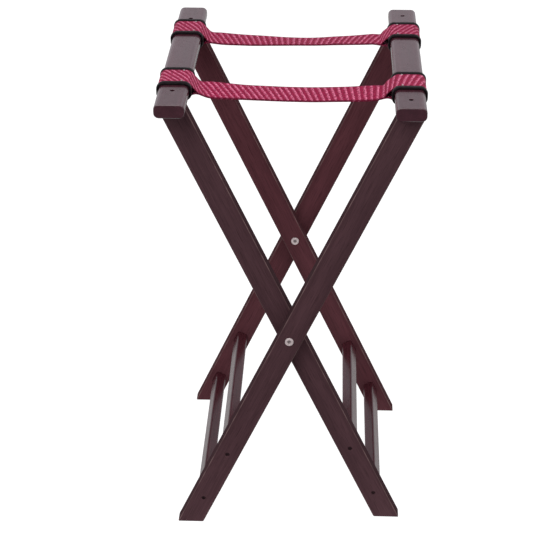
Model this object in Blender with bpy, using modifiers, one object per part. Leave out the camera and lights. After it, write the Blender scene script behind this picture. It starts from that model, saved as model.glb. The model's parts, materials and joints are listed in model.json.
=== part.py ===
"""A folding luggage rack: two crossed pairs of legs on pivot bolts, two flat top rails, four flat
rungs and two webbing straps that are looped round the rails over soft sleeves.

The rack stands on the XY plane with its depth along Y. The outer frame's legs lean to +X, the inner
frame's to -X, and they cross at the pivot bolts. Lengths are in metres, angles in degrees.
"""
import math

import bpy
import bmesh
from mathutils import Vector

# Overall sizes
HEIGHT = 0.7874           # floor to the top of the rails
DEPTH = 0.421             # over the outer faces of the outer legs
PIVOT_HEIGHT = 0.3657
LEG_TILT = 25.0           # of each leg from upright

# Legs
LEG_WIDTH = 0.040
LEG_THICKNESS = 0.0238
LEG_GAP = 0.0024          # between an outer leg and the inner leg beside it
LEG_ROUNDING = 0.0018

# Top rails
RAIL_WIDTH = 0.0475
RAIL_THICKNESS = 0.0222
RAIL_OVERHANG = 0.0230    # past the outer legs at each end
RAIL_INSET = 0.0027       # from the middle of the legs' tops in to the middle of the rail
RAIL_ROUNDING = 0.008     # along the rail
RAIL_END_ROUNDING = 0.0012

# Rungs
RUNG_THICKNESS = 0.019    # across the leg
RUNG_WIDTH = 0.0254       # along the leg
RUNG_ROUNDING = 0.003
RUNG_SEAT = 0.006         # how far a rung is let into a leg
LOWER_RUNG_HEIGHT = 0.0508
RUNG_SPACING = 0.1005     # along the leg

# Wood screws
SCREW_HEAD_DIAMETER = 0.0068
SCREW_HEAD_HEIGHT = 0.0022
SCREW_SHANK_DIAMETER = 0.0034
SCREW_GRIP = 0.022        # length of shank in the second piece
SCREW_SINK = 0.0040       # from the wood's face down to the seat of the head
SCREW_TIP = 0.003

# Pivot hardware
BOLT_HEAD_DIAMETER = 0.0140
BOLT_HEAD_HEIGHT = 0.0024
BOLT_HEAD_ROUNDING = 0.0008
BOLT_SINK = 0.0012        # how deep the head sits in its counterbore
BOLT_SHANK_DIAMETER = 0.0052
BOLT_END_ROOM = 0.006     # from the shank's end to the blind end of the nut's barrel
NUT_BARREL_DIAMETER = 0.0080
HEX_KEY = 0.0050          # across flats
HEX_DEPTH = 0.0016
WASHER_DIAMETER = 0.0220

# Straps and the sleeves under them
STRAP_WIDTH = 0.052
STRAP_THICKNESS = 0.0026
LOOP_THICKNESS = 0.0016
CLOSURE_REACH = 0.0090    # from a rail's inner face to where the strap is sewn shut
CLOSURE_DROP = 0.0045     # of that point below the middle of the rail
CLOSURE_CORE = 0.0006     # inner radius of the fold at the sewn end
STRAP_DROP = 0.0079       # of the middle of the strap below its sewn ends
STRAP_RISE = 0.0042       # the part of that drop that is taken up in the bend beside the sewn end
STRAP_BEND = 0.012        # length of that bend
HANG_GAP = 0.0008         # from the sewn end to the first hanging piece
FOLD_LINE = 0.012         # from the middle of the rack to where a strap folds when it hangs
STRAP_SLANTS = {"front": 0.0075, "rear": 0.0040}  # a strap is this much nearer at the outer rail
SLEEVE_WIDTH = 0.072
SLEEVE_SKIN = 0.0010      # wall under the strap
SLEEVE_RIM = 0.0042       # wall beside the strap
SLEEVE_RIM_ROUNDING = 0.0016
SLEEVE_ROOM = 0.003       # from a sleeve to the inner leg beside it, before the strap's slant
FRONT_SETBACK = 0.0035    # how much nearer the middle the front strap is than the rear one

# Tacks
TACK_HEAD_DIAMETER = 0.0034
TACK_HEAD_HEIGHT = 0.0007
TACK_SHANK_DIAMETER = 0.0012
TACK_GRIP = 0.006         # length of shank in the rail
TACK_EDGE = 0.0035        # from the strap's edge to the tack
TACK_INSET = 0.0125       # from the rail's inner face to the tack

# Clearances
TOUCH = 0.0003            # between pieces that rest on each other
RUNNING = 0.0003          # round what turns or slides in a hole

# Facets
HOLE_STEPS = 20
EDGE_STEPS = 2
BELT_STEP = 10            # degrees between the points round a strap's loop
HANG_STEPS = 16
MIDDLE_STEPS = 2

MAHOGANY = ("mahogany", (0.060, 0.022, 0.026), 0.30, 0.0)
MAHOGANY_TOP = ("mahogany_rail", (0.070, 0.030, 0.034), 0.32, 0.0)
BLACK_SCREW = ("black_screw", (0.030, 0.026, 0.028), 0.45, 1.0)
ZINC = ("zinc", (0.78, 0.72, 0.71), 0.28, 1.0)
NYLON = ("nylon", (0.55, 0.53, 0.50), 0.50, 0.0)
CRIMSON = ("crimson_webbing", (0.42, 0.025, 0.095), 0.80, 0.0)
BLACK_SLEEVE = ("black_sleeve", (0.012, 0.010, 0.012), 0.60, 0.0)

# Worked out from the sizes above
TILT = math.radians(LEG_TILT)
RAIL_LENGTH = DEPTH + 2 * RAIL_OVERHANG
LEG_TOP = HEIGHT - RAIL_THICKNESS - TOUCH
RAIL_X = (LEG_TOP - PIVOT_HEIGHT) * math.tan(TILT) - RAIL_INSET
RAIL_MIDDLE = HEIGHT - RAIL_THICKNESS / 2
OUTER_LEG_Y = DEPTH / 2 - LEG_THICKNESS / 2
INNER_LEG_Y = OUTER_LEG_Y - LEG_THICKNESS - LEG_GAP
CLOSURE_X = RAIL_X - RAIL_WIDTH / 2 - CLOSURE_REACH
CLOSURE_Z = RAIL_MIDDLE - CLOSURE_DROP
SLEEVE_GAP = TOUCH
LOOP_GAP = SLEEVE_GAP + SLEEVE_SKIN + TOUCH
PIVOT = Vector((0, 0, PIVOT_HEIGHT))
STRAP_OFFSET = INNER_LEG_Y - LEG_THICKNESS / 2 - SLEEVE_ROOM - SLEEVE_WIDTH / 2
STRAP_PLACES = {"front": FRONT_SETBACK - STRAP_OFFSET, "rear": STRAP_OFFSET}


def clear_scene():
    for item in list(bpy.data.objects):
        bpy.data.objects.remove(item, do_unlink=True)
    for item in list(bpy.data.collections):
        bpy.data.collections.remove(item)


def new_collection(name):
    made = bpy.data.collections.new(name)
    bpy.context.scene.collection.children.link(made)
    return made


def material(look):
    name, colour, roughness, metallic = look
    made = bpy.data.materials.get(name)
    if made is None:
        made = bpy.data.materials.new(name)
        made.use_nodes = True
        shader = made.node_tree.nodes["Principled BSDF"]
        shader.inputs["Base Color"].default_value = (*colour, 1.0)
        shader.inputs["Roughness"].default_value = roughness
        shader.inputs["Metallic"].default_value = metallic
        made.diffuse_color = (*colour, 1.0)
    return made


def add_object(name, data, place, parent=None, look=None, turn=(0, 0, 0)):
    """An object whose place is given in the world; its parents are unturned empties."""
    made = bpy.data.objects.new(name, data)
    parts.objects.link(made)
    made.rotation_euler = turn
    made.location = Vector(place)
    if parent:
        made.parent = parent
        made.location -= Vector(parent["place"])
    if look:
        data.materials.append(material(look))
    return made


def add_axis(name, place, parent=None):
    """An empty on a joint's axis, that the pieces of one moving body hang from."""
    made = add_object(name, None, place, parent)
    made.empty_display_size = 0.03
    made["place"] = tuple(place)
    return made


def mesh_from(name, bm):
    data = bpy.data.meshes.new(name)
    bmesh.ops.recalc_face_normals(bm, faces=bm.faces)
    bm.to_mesh(data)
    bm.free()
    return data


def shade_round(made, sharp=35):
    made.data.shade_smooth()
    made.data.set_sharp_from_angle(angle=math.radians(sharp))


def box_bmesh(size):
    bm = bmesh.new()
    bmesh.ops.create_cube(bm, size=1.0)
    bmesh.ops.scale(bm, vec=size, verts=bm.verts)
    return bm


def add_cutter(name, bm, place, turn):
    made = bpy.data.objects.new(name, mesh_from(name, bm))
    cutters.objects.link(made)
    made.location = place
    made.rotation_euler = turn
    made.display_type = "WIRE"
    made.hide_render = True
    return made


def rod_cutter(name, diameter, start, end, steps=HOLE_STEPS):
    """A cylinder from start to end that cuts a hole."""
    start, end = Vector(start), Vector(end)
    bm = bmesh.new()
    bmesh.ops.create_cone(
        bm, cap_ends=True, segments=steps, depth=(end - start).length,
        radius1=diameter / 2, radius2=diameter / 2,
    )
    return add_cutter(name, bm, (start + end) / 2, (end - start).to_track_quat("Z", "Y").to_euler())


def cut(piece, *tools):
    for tool in tools:
        step = piece.modifiers.new(tool.name, "BOOLEAN")
        step.operation = "DIFFERENCE"
        step.solver = "EXACT"
        step.object = tool


def turned(name, profile, place, parent, look, axis, steps=HOLE_STEPS):
    """A solid of revolution: profile is (radius, height) from the top down, on a Screw modifier.
    axis is the way that its top points."""
    bm = bmesh.new()
    corners = [bm.verts.new((radius, 0, height)) for radius, height in profile]
    for first, second in zip(corners, corners[1:]):
        bm.edges.new((first, second))
    data = bpy.data.meshes.new(name)
    bm.to_mesh(data)
    bm.free()
    made = add_object(name, data, place, parent, look, Vector(axis).to_track_quat("Z", "Y").to_euler())
    spin = made.modifiers.new("turn", "SCREW")
    spin.axis = "Z"
    spin.steps = steps
    spin.render_steps = steps
    spin.use_merge_vertices = True
    spin.merge_threshold = 0.00001
    spin.use_smooth_shade = True
    return made


def flat_outline(name, outlines, width, place, parent, look):
    """Closed outlines in the XZ plane, filled and given a width along Y. An outline inside
    another is a hole."""
    data = bpy.data.curves.new(name, "CURVE")
    data.dimensions = "2D"
    data.fill_mode = "BOTH"
    data.extrude = width / 2
    for outline in outlines:
        spline = data.splines.new("POLY")
        spline.points.add(len(outline) - 1)
        for point, (x, z) in zip(spline.points, outline):
            point.co = (x, z, 0, 1)
        spline.use_cyclic_u = True
    return add_object(name, data, place, parent, look, (math.radians(90), 0, 0))


def as_mesh(made):
    """The same piece as a mesh, with its caps welded, so that it can be cut."""
    bpy.context.view_layer.update()
    evaluated = made.evaluated_get(bpy.context.evaluated_depsgraph_get())
    data = bpy.data.meshes.new_from_object(evaluated)
    bm = bmesh.new()
    bm.from_mesh(data)
    bmesh.ops.remove_doubles(bm, verts=bm.verts, dist=0.00001)
    bm.to_mesh(data)
    bm.free()
    name, world, parent = made.name, made.matrix_world.copy(), made.parent
    curve = made.data
    bpy.data.objects.remove(made)
    bpy.data.curves.remove(curve)
    piece = bpy.data.objects.new(name, data)
    parts.objects.link(piece)
    piece.parent = parent
    piece.matrix_world = world
    return piece


def bearing(frame_side, front):
    """The Y of the middle of a leg: outer legs for side 1, inner legs for side -1."""
    reach = OUTER_LEG_Y if frame_side == 1 else INNER_LEG_Y
    return -reach if front else reach


def on_leg(frame_side, height):
    """The X of a leg's centre line at a height."""
    return frame_side * (height - PIVOT_HEIGHT) * math.tan(TILT)


def rung_place(frame_side, upper):
    height = LOWER_RUNG_HEIGHT + (RUNG_SPACING * math.cos(TILT) if upper else 0)
    return Vector((on_leg(frame_side, height), 0, height))


def leg(name, frame_side, front, parent):
    """A slanted leg, cut level at the floor and under the rail."""
    y = bearing(frame_side, front)
    bm = box_bmesh((1, LEG_THICKNESS, 1))
    for corner in bm.verts:
        height = (LEG_TOP if corner.co.z > 0 else 0) - PIVOT_HEIGHT
        half = LEG_WIDTH / 2 / math.cos(TILT)
        corner.co.x = frame_side * height * math.tan(TILT) + math.copysign(half, corner.co.x)
        corner.co.z = height
    bmesh.ops.bevel(
        bm, geom=bm.edges, offset=LEG_ROUNDING, segments=EDGE_STEPS, profile=0.5, affect="EDGES",
    )
    made = add_object(name, mesh_from(name, bm), PIVOT + Vector((0, y, 0)), parent, MAHOGANY)
    shade_round(made)
    inward = 1 if front else -1
    outer_face = y - inward * LEG_THICKNESS / 2
    inner_face = y + inward * LEG_THICKNESS / 2
    past = inward * LEG_GAP / 2
    bolt_hole = rod_cutter(
        name + "_bolt_hole", NUT_BARREL_DIAMETER + 2 * RUNNING,
        (0, outer_face - past, PIVOT_HEIGHT), (0, inner_face + past, PIVOT_HEIGHT),
    )
    head_face = outer_face if frame_side == 1 else inner_face
    into_wood = inward if frame_side == 1 else -inward
    head_seat = rod_cutter(
        name + "_head_seat", BOLT_HEAD_DIAMETER + 4 * RUNNING,
        (0, head_face - into_wood * LEG_GAP / 2, PIVOT_HEIGHT),
        (0, head_face + into_wood * BOLT_SINK, PIVOT_HEIGHT),
    )
    cut(made, bolt_hole, head_seat)
    for level, upper in (("upper", True), ("lower", False)):
        spot = rung_place(frame_side, upper)
        label = name + "_" + level
        seat = add_cutter(
            label + "_rung_seat", rung_bmesh(2 * RUNG_SEAT, TOUCH), (spot.x, inner_face, spot.z),
            (0, frame_side * TILT, 0),
        )
        head = rod_cutter(
            label + "_screw_sink", SCREW_HEAD_DIAMETER + 2 * TOUCH,
            (spot.x, outer_face - past, spot.z), (spot.x, outer_face + inward * SCREW_SINK, spot.z),
        )
        shank = rod_cutter(
            label + "_screw_hole", SCREW_SHANK_DIAMETER + 2 * TOUCH,
            (spot.x, outer_face, spot.z), (spot.x, inner_face, spot.z), HOLE_STEPS // 2,
        )
        cut(made, seat, head, shank)
    pilot = rod_cutter(
        name + "_pilot", SCREW_SHANK_DIAMETER + 2 * TOUCH,
        (frame_side * RAIL_X, y, LEG_TOP - SCREW_GRIP - TOUCH), (frame_side * RAIL_X, y, LEG_TOP + TOUCH),
        HOLE_STEPS // 2,
    )
    cut(made, pilot)
    return made


def tack_places(frame_side, strap_y):
    x = frame_side * (RAIL_X - RAIL_WIDTH / 2 + TACK_INSET)
    reach = STRAP_WIDTH / 2 - TACK_EDGE
    return {"near": (x, strap_y - reach), "far": (x, strap_y + reach)}


def tack_hole(name, x, y):
    return rod_cutter(
        name + "_hole", TACK_SHANK_DIAMETER + 2 * TOUCH,
        (x, y, HEIGHT - TACK_GRIP - TOUCH), (x, y, HEIGHT + 2 * SLEEVE_RIM), HOLE_STEPS // 2,
    )


def top_rail(name, frame_side, parent, tack_holes):
    """A flat rail with well rounded long edges, bored for its screws and tacks."""
    bm = box_bmesh((RAIL_WIDTH, RAIL_LENGTH, RAIL_THICKNESS))
    long_edges = [e for e in bm.edges if abs(e.verts[0].co.y - e.verts[1].co.y) > RAIL_LENGTH / 2]
    bmesh.ops.bevel(
        bm, geom=long_edges, offset=RAIL_ROUNDING, segments=2 * EDGE_STEPS, profile=0.5,
        affect="EDGES",
    )
    place = Vector((frame_side * RAIL_X, 0, RAIL_MIDDLE))
    made = add_object(name, mesh_from(name, bm), place, parent, MAHOGANY_TOP)
    ends = made.modifiers.new("eased_ends", "BEVEL")
    ends.width = RAIL_END_ROUNDING
    ends.segments = 1
    ends.limit_method = "ANGLE"
    ends.angle_limit = math.radians(60)
    shade_round(made)
    for end, front in (("front", True), ("rear", False)):
        y = bearing(frame_side, front)
        head = rod_cutter(
            name + "_" + end + "_screw_sink", SCREW_HEAD_DIAMETER + 2 * TOUCH,
            (place.x, y, HEIGHT - SCREW_SINK), (place.x, y, HEIGHT + SCREW_SINK),
        )
        shank = rod_cutter(
            name + "_" + end + "_screw_hole", SCREW_SHANK_DIAMETER + 2 * TOUCH,
            (place.x, y, HEIGHT - RAIL_THICKNESS - TOUCH), (place.x, y, HEIGHT), HOLE_STEPS // 2,
        )
        cut(made, head, shank)
    cut(made, *tack_holes)
    return made


def rung_bmesh(length, room=0):
    """A flat bar along Y with rounded long edges, larger on its four sides by room."""
    bm = box_bmesh((RUNG_THICKNESS + 2 * room, length, RUNG_WIDTH + 2 * room))
    along = [edge for edge in bm.edges if abs(edge.verts[0].co.y - edge.verts[1].co.y) > length / 2]
    bmesh.ops.bevel(
        bm, geom=along, offset=RUNG_ROUNDING + room, segments=2 * EDGE_STEPS, profile=0.5,
        affect="EDGES",
    )
    return bm


def rung(name, frame_side, upper, parent):
    """A flat rung, square to its legs and let into them."""
    reach = (OUTER_LEG_Y if frame_side == 1 else INNER_LEG_Y) - LEG_THICKNESS / 2
    half = reach + RUNG_SEAT - TOUCH
    place = rung_place(frame_side, upper)
    data = mesh_from(name, rung_bmesh(2 * half))
    made = add_object(name, data, place, parent, MAHOGANY, (0, frame_side * TILT, 0))
    shade_round(made)
    for end in (-1, 1):
        pilot = rod_cutter(
            name + ("_front_pilot" if end < 0 else "_rear_pilot"), SCREW_SHANK_DIAMETER + 2 * TOUCH,
            (place.x, end * (half - SCREW_GRIP - TOUCH), place.z), (place.x, end * (half + TOUCH), place.z),
            HOLE_STEPS // 2,
        )
        cut(made, pilot)
    return made


def wood_screw(name, seat, axis, first_piece, parent):
    """A countersunk screw. seat is the middle of the hole's floor, axis points out of the hole,
    and first_piece is the wood left under the head."""
    head = SCREW_HEAD_DIAMETER / 2
    shank = SCREW_SHANK_DIAMETER / 2
    length = first_piece + SCREW_GRIP
    recess = SCREW_HEAD_HEIGHT / 2
    profile = [
        (0, TOUCH + recess),
        (head / 2, TOUCH + SCREW_HEAD_HEIGHT),
        (head, TOUCH + SCREW_HEAD_HEIGHT),
        (head, TOUCH),
        (shank, TOUCH),
        (shank, SCREW_TIP - length),
        (0, -length),
    ]
    return turned(name, profile, seat, parent, BLACK_SCREW, axis, HOLE_STEPS // 2)


def hex_cutter(name, place, depth):
    across_corners = HEX_KEY / math.cos(math.radians(30))
    y = Vector((0, depth, 0))
    return rod_cutter(name, across_corners, place - y, place + y, 6)


def pivot_set(end, front, parent):
    """A connector bolt and its barrel nut, with a washer between the two legs."""
    outward = -1 if front else 1
    outer_face = bearing(1, front) + outward * LEG_THICKNESS / 2
    inner_face = bearing(-1, front) - outward * LEG_THICKNESS / 2
    seat_out = Vector((0, outer_face - outward * BOLT_SINK, PIVOT_HEIGHT))
    seat_in = Vector((0, inner_face + outward * BOLT_SINK, PIVOT_HEIGHT))
    grip = (seat_out - seat_in).length
    head = BOLT_HEAD_DIAMETER / 2
    crown = TOUCH + BOLT_HEAD_HEIGHT
    top = [(0, crown), (head - BOLT_HEAD_ROUNDING, crown), (head, crown - BOLT_HEAD_ROUNDING), (head, TOUCH)]
    shank = BOLT_SHANK_DIAMETER / 2
    barrel = NUT_BARREL_DIAMETER / 2
    barrel_length = grip - LEG_THICKNESS / 2
    bolt_length = grip - BOLT_END_ROOM
    bore = shank + RUNNING
    bolt = turned(
        "pivot_bolt_" + end, top + [(shank, TOUCH), (shank, -bolt_length), (0, -bolt_length)],
        seat_out, parent, ZINC, (0, outward, 0),
    )
    nut = turned(
        "pivot_nut_" + end,
        top + [
            (barrel, TOUCH), (barrel, -barrel_length), (bore, -barrel_length),
            (bore, -BOLT_END_ROOM + TOUCH), (0, -BOLT_END_ROOM + TOUCH),
        ],
        seat_in, parent, ZINC, (0, -outward, 0),
    )
    for piece, seat, way in ((bolt, seat_out, outward), (nut, seat_in, -outward)):
        face = seat + Vector((0, way * crown, 0))
        cut(piece, hex_cutter(piece.name + "_hex", face, HEX_DEPTH))
    half = LEG_GAP / 2 - TOUCH
    rim = WASHER_DIAMETER / 2
    hole = barrel + RUNNING
    middle = Vector((0, bearing(1, front) - outward * (LEG_THICKNESS + LEG_GAP) / 2, PIVOT_HEIGHT))
    turned(
        "pivot_washer_" + end, [(hole, half), (rim, half), (rim, -half), (hole, -half), (hole, half)],
        middle, parent, NYLON, (0, outward, 0),
    )


def belt(frame_side, gap):
    """Points round a rail and its sewn end, at a gap from the wood: in each direction, the
    furthest point of the four rounded edges and of the small fold at the sewn end."""
    half_width = RAIL_WIDTH / 2 - RAIL_ROUNDING
    half_height = RAIL_THICKNESS / 2 - RAIL_ROUNDING
    circles = [
        (sx * half_width, sz * half_height, RAIL_ROUNDING + gap) for sx in (-1, 1) for sz in (-1, 1)
    ]
    fold = CLOSURE_CORE + max(0, gap - SLEEVE_GAP)
    outermost = CLOSURE_CORE + LOOP_GAP + LOOP_THICKNESS - SLEEVE_GAP
    nose = RAIL_WIDTH / 2 + CLOSURE_REACH - outermost
    circles.append((-nose, -CLOSURE_DROP, fold))
    points = []
    for turn in range(0, 360, BELT_STEP):
        way = Vector((math.cos(math.radians(turn)), math.sin(math.radians(turn))))
        x, z, radius = max(circles, key=lambda c: c[0] * way.x + c[1] * way.y + c[2])
        points.append((frame_side * (x + radius * way.x), z + radius * way.y))
    return points if frame_side == 1 else points[::-1]


def rail_spot(frame_side, strap_y):
    return Vector((frame_side * RAIL_X, strap_y, RAIL_MIDDLE))


def rail_sleeve(name, frame_side, strap_y, parent, tack_holes):
    """A soft sleeve round the rail under the strap, with a raised, rounded rim on each side of
    it. It is skinned over rings of equal count, from one end of the sleeve to the other."""
    end = SLEEVE_WIDTH / 2
    lip = STRAP_WIDTH / 2 + TOUCH
    shoulder = SLEEVE_RIM - SLEEVE_RIM_ROUNDING
    half = [
        (end, SLEEVE_GAP),
        (end, shoulder),
        (end - SLEEVE_RIM_ROUNDING, SLEEVE_RIM),
        (lip + SLEEVE_RIM_ROUNDING, SLEEVE_RIM),
        (lip, shoulder),
        (lip, SLEEVE_GAP + SLEEVE_SKIN),
    ]
    stations = [(-y, gap) for y, gap in half] + half[::-1]
    bm = bmesh.new()
    rings = [[bm.verts.new((x, y, z)) for x, z in belt(frame_side, gap)] for y, gap in stations]
    for ring, next_ring in zip(rings, rings[1:] + rings[:1]):
        for n in range(len(ring)):
            bm.faces.new((ring[n - 1], ring[n], next_ring[n], next_ring[n - 1]))
    place = rail_spot(frame_side, strap_y)
    made = add_object(name, mesh_from(name, bm), place, parent, BLACK_SLEEVE)
    cut(made, *tack_holes)
    return made


def strap_loop(name, frame_side, strap_y, parent, tack_holes):
    """The end of a strap, taken round the rail and sewn back to itself."""
    made = flat_outline(
        name, [belt(frame_side, LOOP_GAP + LOOP_THICKNESS), belt(frame_side, LOOP_GAP)], STRAP_WIDTH,
        rail_spot(frame_side, strap_y), parent, CRIMSON,
    )
    made = as_mesh(made)
    cut(made, *tack_holes)
    return made


def strap_height(x):
    """The height of the strap's middle layer at a distance from the middle of the rack."""
    share = x / CLOSURE_X
    curve = (STRAP_DROP - STRAP_RISE) * share * share
    bend = STRAP_RISE * math.exp((x - CLOSURE_X) / STRAP_BEND)
    return CLOSURE_Z - STRAP_DROP + curve + bend


def strap_piece(name, frame_side, strap, start, end, steps, parent):
    """A stretch of strap between two distances from the middle of the rack."""
    upper, lower = [], []
    for n in range(steps + 1):
        x = start + (end - start) * n / steps
        step = STRAP_BEND / 100
        slope = (strap_height(x + step) - strap_height(x - step)) / (2 * step)
        normal = Vector((-slope, 1)).normalized() * STRAP_THICKNESS / 2
        upper.append((x + normal.x, strap_height(x) + normal.y))
        lower.append((x - normal.x, strap_height(x) - normal.y))
    outline = [(frame_side * x, z - CLOSURE_Z) for x, z in lower + upper[::-1]]
    place = Vector((0, STRAP_PLACES[strap], CLOSURE_Z))
    made = as_mesh(flat_outline(name, [outline], STRAP_WIDTH, place, parent, CRIMSON))
    for corner in made.data.vertices:
        corner.co.z += STRAP_SLANTS[strap] / 2 * corner.co.x / CLOSURE_X
    return made


def loop_place(frame_side, strap):
    """The Y of the middle of a strap where it is looped round a rail."""
    return STRAP_PLACES[strap] - frame_side * STRAP_SLANTS[strap] / 2


def tack(name, x, y, parent):
    """A small round-headed tack through the strap and the sleeve into the rail."""
    head = TACK_HEAD_DIAMETER / 2
    shank = TACK_SHANK_DIAMETER / 2
    top = LOOP_GAP + LOOP_THICKNESS + TOUCH
    profile = [
        (0, top + TACK_HEAD_HEIGHT),
        (head * 0.6, top + TACK_HEAD_HEIGHT * 0.8),
        (head, top),
        (shank, top),
        (shank, -TACK_GRIP + TACK_HEAD_DIAMETER / 2),
        (0, -TACK_GRIP),
    ]
    return turned(name, profile, (x, y, HEIGHT), parent, ZINC, (0, 0, 1), HOLE_STEPS // 2)


def build_frame(side_name, frame_side, parent):
    """Everything fastened to one frame: 1 is the outer frame, -1 the inner one."""
    holes = {}
    for strap in STRAP_PLACES:
        for edge, (x, y) in tack_places(frame_side, loop_place(frame_side, strap)).items():
            name = f"{side_name}_tack_{strap}_{edge}"
            holes[strap, edge] = tack_hole(name, x, y)
            tack(name, x, y, parent)
    top_rail(side_name + "_top_rail", frame_side, parent, list(holes.values()))
    for end, front in (("front", True), ("rear", False)):
        leg(f"{side_name}_leg_{end}", frame_side, front, parent)
        y = bearing(frame_side, front)
        outward = -1 if front else 1
        face = y + outward * LEG_THICKNESS / 2
        for level, upper in (("upper", True), ("lower", False)):
            spot = rung_place(frame_side, upper)
            seat = (spot.x, face - outward * SCREW_SINK, spot.z)
            wood_left = LEG_THICKNESS - SCREW_SINK - RUNG_SEAT
            wood_screw(
                f"{side_name}_{level}_rung_screw_{end}", seat, (0, outward, 0), wood_left, parent
            )
        rail_seat = (frame_side * RAIL_X, y, HEIGHT - SCREW_SINK)
        wood_screw(
            f"{side_name}_rail_screw_{end}", rail_seat, (0, 0, 1), RAIL_THICKNESS - SCREW_SINK, parent
        )
    rung(side_name + "_rung_upper", frame_side, True, parent)
    rung(side_name + "_rung_lower", frame_side, False, parent)
    for strap in STRAP_PLACES:
        strap_y = loop_place(frame_side, strap)
        tacks = [holes[strap, "near"], holes[strap, "far"]]
        rail_sleeve(f"{side_name}_sleeve_{strap}", frame_side, strap_y, parent, tacks)
        strap_loop(f"{side_name}_strap_loop_{strap}", frame_side, strap_y, parent, tacks)


def build_span(side_name, frame_side, strap, parent):
    """One half of a strap between the rails: a long hanging piece and a short middle piece.
    Each turns about the edge that stays closed as the strap folds."""
    half = STRAP_THICKNESS / 2
    sewn_end = Vector((frame_side * (CLOSURE_X - HANG_GAP), 0, CLOSURE_Z - half))
    fold_line = Vector((frame_side * FOLD_LINE, 0, strap_height(FOLD_LINE) + half))
    hang_axis = add_axis(f"{side_name}_hang_axis_{strap}", sewn_end, parent)
    turn_axis = add_axis(f"{side_name}_turn_axis_{strap}", fold_line, hang_axis)
    strap_piece(
        f"{side_name}_strap_hang_{strap}", frame_side, strap, FOLD_LINE + TOUCH / 2,
        CLOSURE_X - HANG_GAP, HANG_STEPS, hang_axis,
    )
    strap_piece(
        f"{side_name}_strap_middle_{strap}", frame_side, strap, TOUCH / 2,
        FOLD_LINE - TOUCH / 2, MIDDLE_STEPS, turn_axis,
    )


clear_scene()
parts = new_collection("folding_luggage_rack")
cutters = new_collection("cutters")
outer_frame = add_axis("outer_frame", PIVOT)
inner_frame = add_axis("inner_frame", PIVOT)
build_frame("outer", 1, outer_frame)
build_frame("inner", -1, inner_frame)
for strap in STRAP_PLACES:
    build_span("outer", 1, strap, outer_frame)
    build_span("inner", -1, strap, inner_frame)
pivot_set("front", True, outer_frame)
pivot_set("rear", False, outer_frame)
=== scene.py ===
"""Finishes and soft parts of a folding luggage rack: stained mahogany legs, rails and rungs,
two webbing straps looped round the rails over soft black sleeves, and the bolts, screws and tacks.

The frame is loaded first. Every new piece is modelled where the frame says, and the sleeves
and hardware are parented to an empty for the body they ride on.
"""
import json
import math

import bpy
from mathutils import Matrix, Vector, noise


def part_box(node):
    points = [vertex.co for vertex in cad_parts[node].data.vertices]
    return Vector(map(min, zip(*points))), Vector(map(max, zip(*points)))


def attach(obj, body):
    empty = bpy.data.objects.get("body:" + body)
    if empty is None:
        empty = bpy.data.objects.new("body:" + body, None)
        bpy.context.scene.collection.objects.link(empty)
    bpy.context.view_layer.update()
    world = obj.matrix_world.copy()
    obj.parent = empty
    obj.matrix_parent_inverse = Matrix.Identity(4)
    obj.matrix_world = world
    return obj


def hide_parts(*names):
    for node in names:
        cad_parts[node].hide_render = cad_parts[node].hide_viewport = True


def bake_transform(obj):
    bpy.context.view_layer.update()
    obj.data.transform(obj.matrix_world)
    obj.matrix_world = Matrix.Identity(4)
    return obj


bl_info = {
    "name": "Folding Luggage Rack",
    "version": (1, 0, 0),
    "blender": (4, 5, 0),
    "location": "3D View > Sidebar > Luggage Rack",
    "description": "Finishes a folding luggage rack: wood, webbing, sleeves and hardware",
    "category": "Object",
}

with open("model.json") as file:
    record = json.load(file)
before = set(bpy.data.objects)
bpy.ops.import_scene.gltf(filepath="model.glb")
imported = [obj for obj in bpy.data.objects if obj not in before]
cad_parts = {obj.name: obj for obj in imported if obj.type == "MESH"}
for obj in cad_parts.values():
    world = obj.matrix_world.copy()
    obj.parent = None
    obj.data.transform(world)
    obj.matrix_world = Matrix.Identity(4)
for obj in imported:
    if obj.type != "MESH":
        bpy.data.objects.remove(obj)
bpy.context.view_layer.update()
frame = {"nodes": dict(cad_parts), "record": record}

SIDES = {"outer": 1, "inner": -1}     # the side of X that each frame's rail is on
ENDS = ("front", "rear")
JOINTS = {joint["name"]: joint for joint in frame["record"]["behaviour"]["joints"]}
PIVOT = Vector(JOINTS["fold"]["pos_m"])


# Sizes taken from the frame

def node_size(node):
    low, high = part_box(node)
    return Vector(high) - Vector(low)


def node_middle(node):
    low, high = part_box(node)
    return (Vector(high) + Vector(low)) / 2


RAIL = node_size("outer_top_rail")            # width, length, thickness
RAIL_MIDDLE = node_middle("outer_top_rail")
LEG_THICKNESS = node_size("outer_leg_front").y
SLEEVE_WIDTH = node_size("outer_sleeve_front").y
STRAP_WIDTH = node_size("outer_strap_loop_front").y
STRAP_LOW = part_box("outer_strap_middle_front")[0][2]    # the underside of a strap at its lowest
SEWN_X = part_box("outer_strap_loop_front")[0][0]         # where a strap's loop is sewn shut


# Other sizes, in metres, and angles in degrees

RAIL_ROUNDING = 0.008
LEG_WIDTH = 0.040
LEG_TILT = 25                # the legs' lean when the rack is open

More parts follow.
